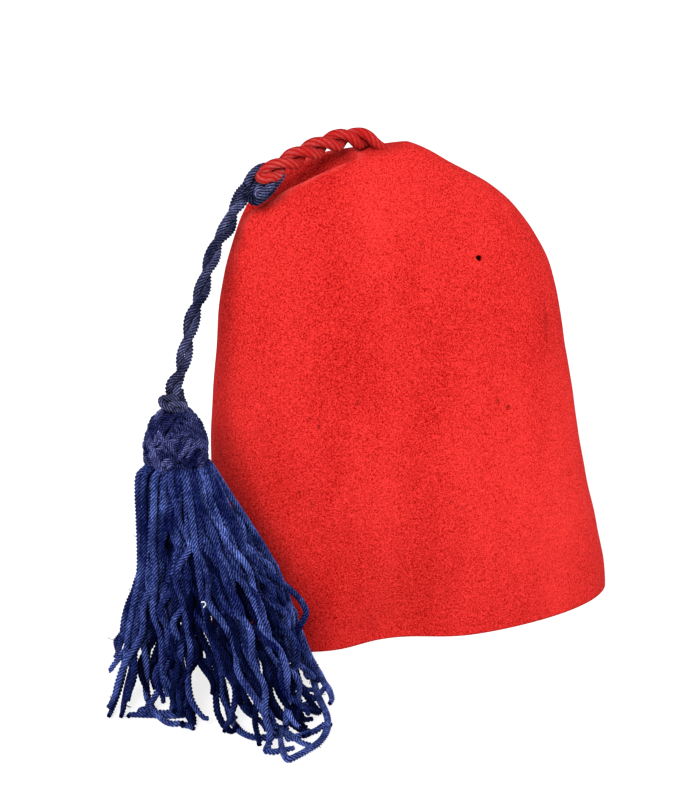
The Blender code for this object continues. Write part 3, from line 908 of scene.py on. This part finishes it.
def rolled_top(points, count=80, chance=None, tight=1.0):
    """Starts a yarn inside the head, rolls it over the edge and keeps it above the surface."""
    drop, reach_most, lift, turn = 0.016, ROLL_REACH, 0.0, 0.0
    if chance:
        drop = chance.uniform(0.011, 0.026)
        reach_most = chance.uniform(0.0180, ROLL_REACH) * tight
        lift = chance.uniform(-0.0010, 0.0012)
        turn = chance.uniform(-0.24, 0.24)
    low = next(i for i, point in enumerate(points) if point.z < HEAD_BOTTOM - drop)
    axis = Vector((TASSEL_X, TASSEL_Y, 0))
    out = from_axis(points[low])
    reach = min(out.length, reach_most)
    out = Matrix.Rotation(turn, 3, "Z") @ out.normalized()
    lift += 0.0030 * (reach / ROLL_REACH - 0.9)
    roll = [
        axis + out * reach * share + Vector((0, 0, HEAD_BOTTOM + up + lift * lifted))
        for share, up, lifted in ROLL
    ]
    line = smooth_line(roll + points[low:], count)
    for point in line:
        point.z = max(point.z, YARN * 0.59)
    return line


# %% All yarns
FRONT_LOCKS = range(11)
FIRST_INNER_LOCK = 1
INNER_LOCKS = 6
INNER_YARNS = 24
INNER_TIGHT = 0.80
STEPS = (-1, 0, 0, 0, 1, 1, 2)


def skirt_lines():
    """Yarns of the front locks, those inside them, and those of the back locks."""
    chance = random.Random(23)
    front, inner, back = [], [], []
    for i in range(len(LOCK_ROWS)):
        facing = i in FRONT_LOCKS
        for place in FRONT_PLACES + INNER_PLACES if facing else BACK_PLACES:
            step = chance.choice(STEPS) if facing else 0
            last = min(max(i + step, FRONT_LOCKS[0]), FRONT_LOCKS[-1]) if facing else i
            line = yarn_line(i, last, chance, place)
            line = line[: round(len(line) * chance.uniform(0.88, 1.0))]
            if facing and place in INNER_PLACES:
                inner.append(rolled_top(line, chance=chance, tight=INNER_TIGHT))
            else:
                (front if facing else back).append(rolled_top(line, chance=chance))
    for k in range(INNER_YARNS):
        place = (chance.uniform(-6.5, -2.5), chance.uniform(-5, 5))
        first, last = (FIRST_INNER_LOCK + at % INNER_LOCKS for at in (k, k + 1))
        line = yarn_line(first, last, chance, place)
        line = line[: round(len(line) * chance.uniform(0.72, 0.9))]
        inner.append(rolled_top(line, chance=chance, tight=INNER_TIGHT))
    return front, inner, back


# %% [markdown]
# Some yarns lie away from the rest: a long arc on the surface in front, hooks on the left, and a
# loop on the right side that stands clear of the hat. Each is a list of points in mm, after the
# angle where it leaves the head. The points were picked in the photograph, and most of them were
# turned into places outside this script, with the same camera.

# %% Loose yarns
LOOSE_YARNS = {
    "long_arc": (330, (
        (-108, -66, 60), (-94, -70, 10), (-92.4, -76, 2.4), (-98.9, -102.1, 2.4),
        (-103.5, -126.3, 2.4), (-109.5, -141.4, 2.4), (-117.7, -152.8, 2.4), (-127.3, -159.8, 2.4),
        (-134.7, -163.9, 2.4), (-139.5, -165.5, 2.4), (-138.7, -156.4, 2.6), (-135.7, -145.6, 3.0),
        (-132.1, -136.0, 5.0),
    )),
    "left_lying": (220, (
        (-176, -66, 60), (-181, -68, 16), (-182, -74, 3.0), (-183.3, -83.8, 2.4),
        (-182.5, -98.1, 2.4), (-179.6, -105.6, 2.4), (-174.4, -107.7, 2.4), (-171.1, -115.3, 2.4),
    )),
    "front_lying": (276, (
        (-156, -88, 60), (-150.5, -101, 18), (-149.8, -108, 3.2), (-150.5, -117.4, 2.4),
        (-150.3, -127.4, 2.4), (-147.1, -134.9, 2.4), (-142.0, -138.2, 2.4), (-135.6, -138.3, 2.4),
        (-129.3, -137.1, 2.4), (-126.9, -149.1, 2.4), (-123.0, -155.5, 2.4),
    )),
    "right_hook": (340, (
        (-108, -60, 60), (-91, -66, 12), (-87.1, -69.9, 2.6), (-89.7, -85.7, 2.4),
        (-90.9, -97.4, 2.4), (-93.6, -108.3, 2.4), (-96.8, -113.5, 2.4),
    )),
    "far_left": (200, (
        (-175.4, -50, 103), (-177.6, -51, 87), (-178.6, -53, 66), (-182.6, -56, 51), (-187.5, -60, 36),
        (-191.5, -66, 22), (-197.5, -72, 9), (-203.5, -80, 3.0), (-206.5, -85, 2.4),
    )),
    "next_left": (212, (
        (-173.5, -55, 104), (-176.0, -56, 89), (-177.6, -58, 68), (-179.9, -60, 52), (-185.4, -64, 35),
        (-188.6, -69, 21), (-194.4, -76, 10), (-198.8, -84, 3.4), (-201.0, -88, 2.4),
    )),
    "right_loop": (345, (
        (-137.5, -64, 104), (-131, -69, 86), (-120.5, -73, 68.0), (-112.1, -75, 59.9),
        (-103.8, -75, 51.9), (-98.3, -75, 45.4), (-95.0, -75, 38.1), (-97.2, -75, 32.8),
        (-100.7, -76, 27.7), (-105.2, -78, 20.4), (-108.0, -80, 12.0),
    )),
    "right_inner": (350, (
        (-139, -66, 102), (-132, -71, 84), (-123, -76, 66), (-114, -78, 55), (-108, -79, 45),
        (-106, -80, 36), (-104, -82, 26), (-98, -85, 14), (-93, -88, 3.0),
    )),
}
LOW_START = 100
LOOSE_OUT = 0.019
LOOSE_DROP = 0.0135


def loose_lines():
    """The loose yarns. One that is given from low down first gets a point beside the head."""
    lines = []
    for leave, spots in LOOSE_YARNS.values():
        points = [Vector(spot) / 1000 for spot in spots]
        if spots[0][2] < LOW_START:
            points.insert(0, round_axis(LOOSE_OUT, leave, HEAD_BOTTOM - LOOSE_DROP))
        lines.append(rolled_top(points, 100))
    return lines


# %% Skirt
front_lines, inner_lines, back_lines = skirt_lines()
groups = {
    "tassel_yarns_front": (front_lines, BLUE_YARN),
    # The inner yarns take the darker blue, which is painted shade.
    "tassel_yarns_inner": (inner_lines, SHADED_INNER_YARN),
    "tassel_yarns_back": (back_lines, BLUE_YARN),
    "tassel_yarns_loose": (loose_lines(), BLUE_YARN),
}
for seed, (name, (lines, material)) in enumerate(groups.items()):
    skirt = spin(name, lines, material, YARN, 0.0100, plies=5, facets=10, groove=0.15,
                 step=0.0008, seed=29 + seed, taper=lambda t: 1.04 - 0.30 * max(t - 0.9, 0) / 0.1)
    stand_for(skirt, "blue_yarn", "tassel_skirt")


# %% [markdown]
# Fine fibres stand off the wool, and a few bits of white lint hang in the tassel. Both are yarns
# too, only very thin, so the same tree makes them. The fibres start on the yarns themselves.

# %% Fibres and lint
FIBRE = 0.00030
FIBRES = 520
LOWEST_FIBRE = 0.0005
LINT = (
    ((-157.9, -91.0, 59.6), (-156.4, -91.6, 59.8), (-155.8, -91.6, 58.2), (-157.0, -91.4, 56.8)),
    ((-166.8, -84.0, 47.2), (-166.4, -84.4, 45.2), (-166.2, -84.2, 43.4)),
    ((-145.4, -96.0, 43.6), (-144.6, -96.4, 42.8), (-144.8, -96.2, 41.6)),
)


def fibre_lines(sources):
    """Short bent fibres that start at chance places on the given lines."""
    chance = random.Random(41)
    lines = []
    for _ in range(FIBRES):
        line, thick = chance.choice(sources)
        at = chance.randrange(2, len(line) - 2)
        ahead = (line[at + 1] - line[at - 1]).normalized()
        away = Vector([chance.gauss(0, 1) for _ in range(3)])
        away = (away - ahead * away.dot(ahead)).normalized()
        long = chance.uniform(0.002, 0.0052)
        bend = Vector([chance.uniform(-1, 1) for _ in range(3)]) * long * 0.4
        start = line[at] + away * thick * 0.3
        end = start + (away * 0.8 + ahead * chance.uniform(-0.9, 0.9)) * long
        middle = (start + end) / 2 + bend
        fibre = smooth_line([start, middle, end], 6)
        lines.append([Vector((p.x, p.y, max(p.z, LOWEST_FIBRE))) for p in fibre])
    return lines


skirt_sources = [(line, YARN) for line in front_lines + back_lines + loose_lines()]
fibres = spin("tassel_fibres", fibre_lines(skirt_sources), BLUE_YARN, FIBRE, 0.02, plies=3, facets=3,
              groove=0.0, step=0.0010, seed=43)
stand_for(fibres, "blue_yarn", "tassel_skirt")
LINT_WHITE = yarn_material("white_lint", (0.45, 0.45, 0.45, 1), (0.60, 0.60, 0.60, 1),
                           (0.80, 0.80, 0.80, 1), 0.9, 0.0010, 0.0002)
lint = spin("tassel_lint", [smooth_line([Vector(p) / 1000 for p in rows], 12) for rows in LINT],
            LINT_WHITE, 0.0008, 0.02, plies=3, facets=5, groove=0.0, step=0.0005, seed=47)
stand_for(lint, None, "tassel_skirt")


# %% [markdown]
# ## The felt body
#
# A fez is one piece of felt with no seam, blocked over a form, so the body is one surface. It is
# drawn by a short table: each row is a section of the hat from its rim to its crown. The crease
# in the crown is a push inwards along the left end of the upper sections, with a lip on each
# side, and low at the front the felt bends in along one slow wave. Subdivision makes the surface
# smooth, and Solidify gives it the thickness of the felt.

# %% Felt sizes
HAT_LONG = 0.240
HAT_DEEP = 0.116
HAT_TALL = 0.268
FELT_THICK = 0.0022
CREASE_DEEP = 0.0135
CREASE_REACH = 0.014
LIP_PROUD = 0.002
LIP_REACH = 0.010
# Where the painted highlight along the crest of each lip lies, and how wide it is.
LIP_HIGHLIGHT_AT = 0.0135
LIP_HIGHLIGHT_REACH = 0.0032
CREASE_SHIFT = 0.0075
FRONT_DROP = 0.0060
FRONT_DROP_REACH = 0.050
RIM_WAVE_X = -0.032
RIM_WAVE_DEEP = 0.016
RIM_WAVE_REACH = 0.040
RIM_WAVE_TALL = 0.060
SECTION_COLUMNS = (
    "left_up", "right_up", "left_out", "right_out", "front", "back", "square", "crease",
)
SECTIONS = (
    (-0.05, -0.05, 1.000, 0.990, 0.97, 1.00, 2.2, 0.0),
    (0.035, 0.035, 1.000, 0.990, 0.97, 1.00, 2.2, 0.0),
    (0.150, 0.150, 0.995, 0.925, 0.95, 0.98, 2.2, 0.0),
    (0.290, 0.290, 0.990, 0.850, 0.91, 0.94, 2.2, 0.0),
    (0.460, 0.460, 0.990, 0.775, 0.86, 0.88, 2.2, 0.0),
    (0.630, 0.620, 0.960, 0.715, 0.76, 0.78, 2.2, 0.0),
    (0.760, 0.740, 0.935, 0.655, 0.65, 0.66, 2.2, 0.1),
    (0.855, 0.815, 0.900, 0.540, 0.53, 0.54, 2.3, 0.4),
    (0.915, 0.876, 0.835, 0.435, 0.43, 0.43, 2.4, 0.9),
    (0.955, 0.918, 0.710, 0.305, 0.34, 0.34, 2.6, 1.0),
    (0.974, 0.950, 0.580, 0.150, 0.27, 0.27, 2.8, 1.0),
    (0.984, 0.984, 0.470, 0.055, 0.22, 0.22, 2.6, 0.8),
    (0.988, 1.001, 0.370, -0.060, 0.16, 0.16, 2.4, 0.4),
)
SIDE_FACES = 22
END_CLOSENESS = 0.62


# %% Felt sections
def half_oval(half_long, half_deep, square):
    """One side of an oval from its left end to its right: shares along and across, and the walk."""
    turn = np.linspace(math.pi, 0, 400)
    along = np.sign(np.cos(turn)) * np.abs(np.cos(turn)) ** (2 / square)
    across = np.abs(np.sin(turn)) ** (2 / square)
    across[[0, -1]] = 0.0
    walked = np.cumsum(
        np.hypot(np.diff(along, prepend=along[0]) * half_long,
                 np.diff(across, prepend=across[0]) * half_deep)
    )
    even = np.linspace(0, 1, SIDE_FACES + 1)
    wanted = (even - END_CLOSENESS * np.sin(2 * math.pi * even) / (2 * math.pi)) * walked[-1]
    return np.interp(wanted, walked, along), np.interp(wanted, walked, across), wanted


def bump(distance, reach):
    """A smooth hump: 1 at no distance, 0 from reach on."""
    return 0.5 + 0.5 * math.cos(math.pi * min(distance / reach, 1.0))


def section_end(row, side):
    out = row["left_out"] if side < 0 else row["right_out"]
    height = row["left_up"] if side < 0 else row["right_up"]
    return Vector((side * out * HAT_LONG / 2, 0, height * HAT_TALL))


def section_points(row, inward):
    """The front and the back points of one section, both from its left end to its right.

    Beside them it gives how strong the painted highlight along the lips is at each point.
    """
    left, right = section_end(row, -1), section_end(row, 1)
    centre, reach = (left + right) / 2, (right - left) / 2
    shift = CREASE_SHIFT * (1 - ease((row["left_up"] - 0.89) / 0.09))
    sides, lip_highlight = [], []
    for toward, deep in ((-1, row["front"]), (1, row["back"])):
        half_deep = deep * HAT_DEEP / 2
        points, lips = [], []
        for along, across_share, walked in zip(*half_oval(reach.length, half_deep, row["square"])):
            point = centre + reach * along + Vector((0, toward * across_share * half_deep, 0))
            aside = abs(walked - toward * shift)
            push = CREASE_DEEP * bump(aside, CREASE_REACH)
            push -= LIP_PROUD * bump(abs(aside - CREASE_REACH), LIP_REACH)
            point += inward * push * row["crease"]
            if toward < 0:
                point.z -= FRONT_DROP * row["crease"] * bump(walked, FRONT_DROP_REACH)
            # How strong the painted highlight along the crest of the lip is here.
            lips.append(row["crease"] * bump(abs(aside - LIP_HIGHLIGHT_AT), LIP_HIGHLIGHT_REACH))
            if toward < 0:
                wave = RIM_WAVE_DEEP * bump(abs(point.x - RIM_WAVE_X), RIM_WAVE_REACH)
                point.y += wave * bump(max(point.z, 0), RIM_WAVE_TALL)
            points.append(point)
        sides.append(points)
        lip_highlight.append(lips)
    return sides, lip_highlight


# %% Felt cage
def felt_cage():
    """The felt's outer face as a coarse cage, open below the rim and closed along the crest."""
    table = [dict(zip(SECTION_COLUMNS, row)) for row in SECTIONS]
    ends = [section_end(row, -1) for row in table]
    cage = bmesh.new()
    lip_highlight = cage.verts.layers.float.new("lip_highlight")
    rings = []
    for i, row in enumerate(table):
        rise = ends[min(i + 1, len(ends) - 1)] - ends[max(i - 1, 0)]
        inward = Vector((rise.z, 0, -rise.x)).normalized()
        (front, back), (front_highlight, back_highlight) = section_points(row, inward)
        rings.append([cage.verts.new(p) for p in front + back[-2:0:-1]])
        for vertex, amount in zip(rings[-1], front_highlight + back_highlight[-2:0:-1]):
            vertex[lip_highlight] = amount
    for lower, upper in zip(rings, rings[1:]):
        for i in range(len(lower)):
            j = (i + 1) % len(lower)
            cage.faces.new((lower[i], lower[j], upper[j], upper[i]))
    crest = rings[-1]
    for i in range(SIDE_FACES):
        cap = (crest[i], crest[i + 1], crest[-i - 1], crest[-i])
        cage.faces.new(tuple(dict.fromkeys(cap)))
    bmesh.ops.recalc_face_normals(cage, faces=cage.faces)
    mesh = bpy.data.meshes.new("felt_cage")
    cage.to_mesh(mesh)
    cage.free()
    return mesh


# %% [markdown]
# Felt that was worn and stored is never quite even. The smooth shell is moved a little by slow
# noise, both faces by the same amount, so the wall keeps its thickness. The rim is cut flat
# first, and the hole that a moth has eaten is cut last.

# %% Felt shell
FELT_LEVELS = 3
# Each row: how fine the unevenness is, and how far it moves the felt.
UNEVEN = ((22, 0.0010), (60, 0.0004))
RIM_FADE = 0.02


def felt_shell():
    item = place_in_scene("felt_shell", felt_cage())
    soften = item.modifiers.new("soften", "SUBSURF")
    soften.levels = FELT_LEVELS
    soften.render_levels = FELT_LEVELS
    shell = plain_mesh(item, "felt_shell")
    work = bmesh.new()
    work.from_mesh(shell.data)
    bmesh.ops.bisect_plane(work, geom=work.verts[:] + work.edges[:] + work.faces[:],
                           plane_co=(0, 0, 0), plane_no=(0, 0, 1), clear_inner=True)
    for vertex in work.verts:
        spot = vertex.co
        slow = sum(noise.noise(spot * fine) * far for fine, far in UNEVEN)
        fade = min(spot.z / RIM_FADE, 1.0)
        vertex.co = spot + vertex.normal * slow * fade
    work.to_mesh(shell.data)
    work.free()
    wall = shell.modifiers.new("wall", "SOLIDIFY")
    wall.thickness = FELT_THICK
    wall.offset = -1
    return shell


# %% Felt body
MOTH_HOLE = (0.0223, -0.0317, 0.2083)
MOTH_WIDE = 0.0037


def ragged_plug(middle, outward, wide):
    """A small uneven prism through the felt, which cuts the moth hole."""
    across = outward.cross(Vector((0, 0, 1))).normalized()
    rise = across.cross(outward)
    work = bmesh.new()
    rings = []
    for depth in (-0.012, 0.012):
        rings.append([])
        for angle in np.linspace(0, 2 * math.pi, 15)[:-1]:
            reach = wide / 2 * (1 + 0.16 * math.sin(2 * angle + 1) + 0.10 * math.sin(5 * angle))
            spot = Vector(middle) + outward * depth
            spot += (across * math.cos(angle) + rise * math.sin(angle)) * reach
            rings[-1].append(work.verts.new(spot))
    for a, b, c, d in zip(rings[0], rings[0][1:] + rings[0][:1], rings[1][1:] + rings[1][:1], rings[1]):
        work.faces.new((a, b, c, d))
    work.faces.new(rings[0][::-1])
    work.faces.new(rings[1])
    bmesh.ops.recalc_face_normals(work, faces=work.faces)
    mesh = bpy.data.meshes.new("plug")
    work.to_mesh(mesh)
    work.free()
    return place_in_scene("plug", mesh)


def felt_body():
    shell = felt_shell()
    shape = BVHTree.FromObject(shell, bpy.context.evaluated_depsgraph_get())
    place, outward, _, _ = shape.find_nearest(Vector(MOTH_HOLE))
    plug = ragged_plug(place, outward, MOTH_WIDE)
    cut = shell.modifiers.new("moth", "BOOLEAN")
    cut.operation = "DIFFERENCE"
    cut.solver = "EXACT"
    cut.object = plug
    body = plain_mesh(shell, "felt_body")
    bpy.data.objects.remove(plug, do_unlink=True)
    body.data.shade_smooth()
    return body


body = felt_body()
print("felt", len(body.data.polygons), "faces")


# %% [markdown]
# The felt's colour is a warm red that varies with the grain and with slow clouds. It is a little
# darker towards the rim, which is painted shade, and paler along the crests of the crease's lips,
# which is a painted highlight. Small marks go on top: pits and nicks, and one long faint streak of
# painted shade along a shallow fold near the right end, each from one row of a table. Their places,
# like that of the moth hole, were picked in the photograph and found on the felt outside this
# script.

# %% Felt material
# Painted shade: how much darker the felt is at the rim, and how high up that fades out.
PAINTED_RIM_SHADE = 0.14
PAINTED_RIM_SHADE_TALL = 0.10
DARKEST_RED = (0.22, 0.0003, 0.0002, 1)
BRIGHTEST_RED = (0.58, 0.038, 0.034, 1)
# The colour of the marks, also used for the painted shade towards the rim and along the fold.
MARK_AND_SHADE_COLOUR = (0.10, 0.004, 0.004, 1)
# The pale red of the painted highlight along the lips.
LIP_HIGHLIGHT_COLOUR = (0.72, 0.10, 0.09, 1)
MARK_COLUMNS = ("x", "y", "z", "wide", "tall", "strength")
MARKS = (
    (-0.0113, -0.0316, 0.2191, 0.0017, 0.0017, 0.6),
    (0.0568, -0.0183, 0.2126, 0.0020, 0.0022, 0.5),
    (-0.0740, -0.0409, 0.1274, 0.0018, 0.0028, 0.6),
    (-0.0789, -0.0390, 0.1319, 0.0022, 0.0020, 0.5),
    (-0.0785, -0.0419, 0.0849, 0.0016, 0.0045, 0.5),
    (-0.0854, -0.0390, 0.0912, 0.0018, 0.0022, 0.5),
    (-0.0536, -0.0443, 0.1393, 0.0024, 0.0024, 0.5),
    (-0.0095, -0.0486, 0.1274, 0.0024, 0.0024, 0.5),
    (0.0283, -0.0450, 0.1314, 0.0026, 0.0026, 0.7),
    (0.0353, -0.0444, 0.1264, 0.0026, 0.0024, 0.7),
    (0.0341, -0.0466, 0.1077, 0.0022, 0.0020, 0.6),
    (-0.0010, -0.0521, 0.0789, 0.0022, 0.0026, 0.5),
    (0.0050, -0.0523, 0.0747, 0.0022, 0.0022, 0.5),
    # A long faint streak: painted shade along a shallow fold near the right end.
    (0.0650, -0.0276, 0.1681, 0.0035, 0.0320, 0.25),
)


def felt_material():
    made, tree, shader = plain_material("red_felt", Roughness=0.95, Specular_IOR_Level=0.08)
    grain = use_group(tree, GRAIN, Grain_size=0.0008, Cloud_size=0.050, Upright=0.40,
                      Grain=0.80, Clouds=0.20)
    ramp = tree.nodes.new("ShaderNodeValToRGB")
    for stop, at, colour in zip(ramp.color_ramp.elements, (0.20, 0.80), (DARKEST_RED, BRIGHTEST_RED)):
        stop.position = at
        stop.color = colour
    connect(tree, grain.outputs["Cover"], ramp.inputs[0])
    place = tree.nodes.new("ShaderNodeTexCoord").outputs["Object"]
    tall = add_node(tree, "ShaderNodeSeparateXYZ", place).outputs["Z"]
    # Painted shade that darkens the felt towards the rim.
    painted_rim_shade = add_node(tree, "ShaderNodeMapRange", tall, 0.0, PAINTED_RIM_SHADE_TALL, PAINTED_RIM_SHADE, 0.0).outputs[0]
    total = None
    for values in MARKS:
        row = dict(zip(MARK_COLUMNS, values))
        spot = use_group(tree, SPOT, Middle=(row["x"], row["y"], row["z"]),
                         Reach=(0.7 * row["wide"], 0.02, 0.7 * row["tall"]), Edge=0.8)
        weighed = calculate(tree, "MULTIPLY", spot.outputs["Mask"], row["strength"])
        total = weighed if total is None else calculate(tree, "MAXIMUM", total, weighed)
    dark = calculate(tree, "MAXIMUM", total, painted_rim_shade)
    marked_and_shaded = mix_colours(tree, dark, ramp.outputs[0], MARK_AND_SHADE_COLOUR)
    # A painted highlight: the felt is paler along the crests of the crease's lips.
    lip_highlight = add_node(tree, "ShaderNodeAttribute", attribute_name="lip_highlight").outputs["Fac"]
    highlight_share = calculate(tree, "MULTIPLY", lip_highlight, 0.85)
    highlighted = mix_colours(tree, highlight_share, marked_and_shaded, LIP_HIGHLIGHT_COLOUR)
    connect(tree, highlighted, shader.inputs["Base Color"])
    dents = calculate(tree, "MULTIPLY", total, 2.0)
    height = calculate(tree, "SUBTRACT", grain.outputs["Height"], dents)
    add_bump(tree, shader, height, 0.6, 0.0005)
    return made


body.data.materials.clear()
body.data.materials.append(felt_material())
stand_for(body, "red_felt", "hat_body")
print("felt material with", len(MARKS), "marks")


# %% [markdown]
# ## Floor and light
#
# The hat stands on a lit white table, so its shadows are faint. The table glows a little and
# reflects little, which keeps its light off the hat. A wide floor fills the view, so no backdrop
# is needed. A soft sun stands at the front left, and a weaker lamp lights the right side.

# %% Studio
def add_floor():
    mesh = bpy.data.meshes.new("floor")
    mesh.from_pydata([(-8, -8, 0), (8, -8, 0), (8, 12, 0), (-8, 12, 0)], [], [(0, 1, 2, 3)])
    floor = place_in_scene("floor", mesh)
    paper, _, _ = plain_material("paper", Base_Color=(0.28, 0.28, 0.285, 1), Roughness=0.9,
                                 Emission_Color=(1, 1, 1, 1), Emission_Strength=0.62)
    mesh.materials.append(paper)


def add_lamp(name, place, aim, size, power):
    light = bpy.data.lights.new(name, "AREA")
    light.shape = "SQUARE"
    light.size = size
    light.energy = power
    lamp = place_in_scene(name, light)
    lamp.location = place
    look_along(lamp, Vector(aim) - Vector(place))


def add_sun(name, left, high, strength):
    """A soft far light; left and high are its angles from the front and above the surface."""
    light = bpy.data.lights.new(name, "SUN")
    light.energy = strength
    light.angle = math.radians(30)
    lamp = place_in_scene(name, light)
    place = direction_to(math.radians(left), math.radians(high))
    lamp.location = place * 3
    look_along(lamp, -place)


def add_sky(strength):
    world = bpy.data.worlds.new("sky")
    bpy.context.scene.world = world
    world.use_nodes = True
    world.node_tree.nodes["Background"].inputs[0].default_value = (1, 1, 1, 1)
    world.node_tree.nodes["Background"].inputs[1].default_value = strength


add_floor()
add_sun("key", 36, 30, 3.9)
add_lamp("fill", (1.5, -0.6, 0.5), (0.05, 0, 0.12), 1.2, 20)
add_sky(0.6)
bpy.context.scene.view_settings.view_transform = "Standard"
bpy.context.scene.view_settings.look = "Medium High Contrast"
print("lights:", [light.name for light in bpy.data.lights])
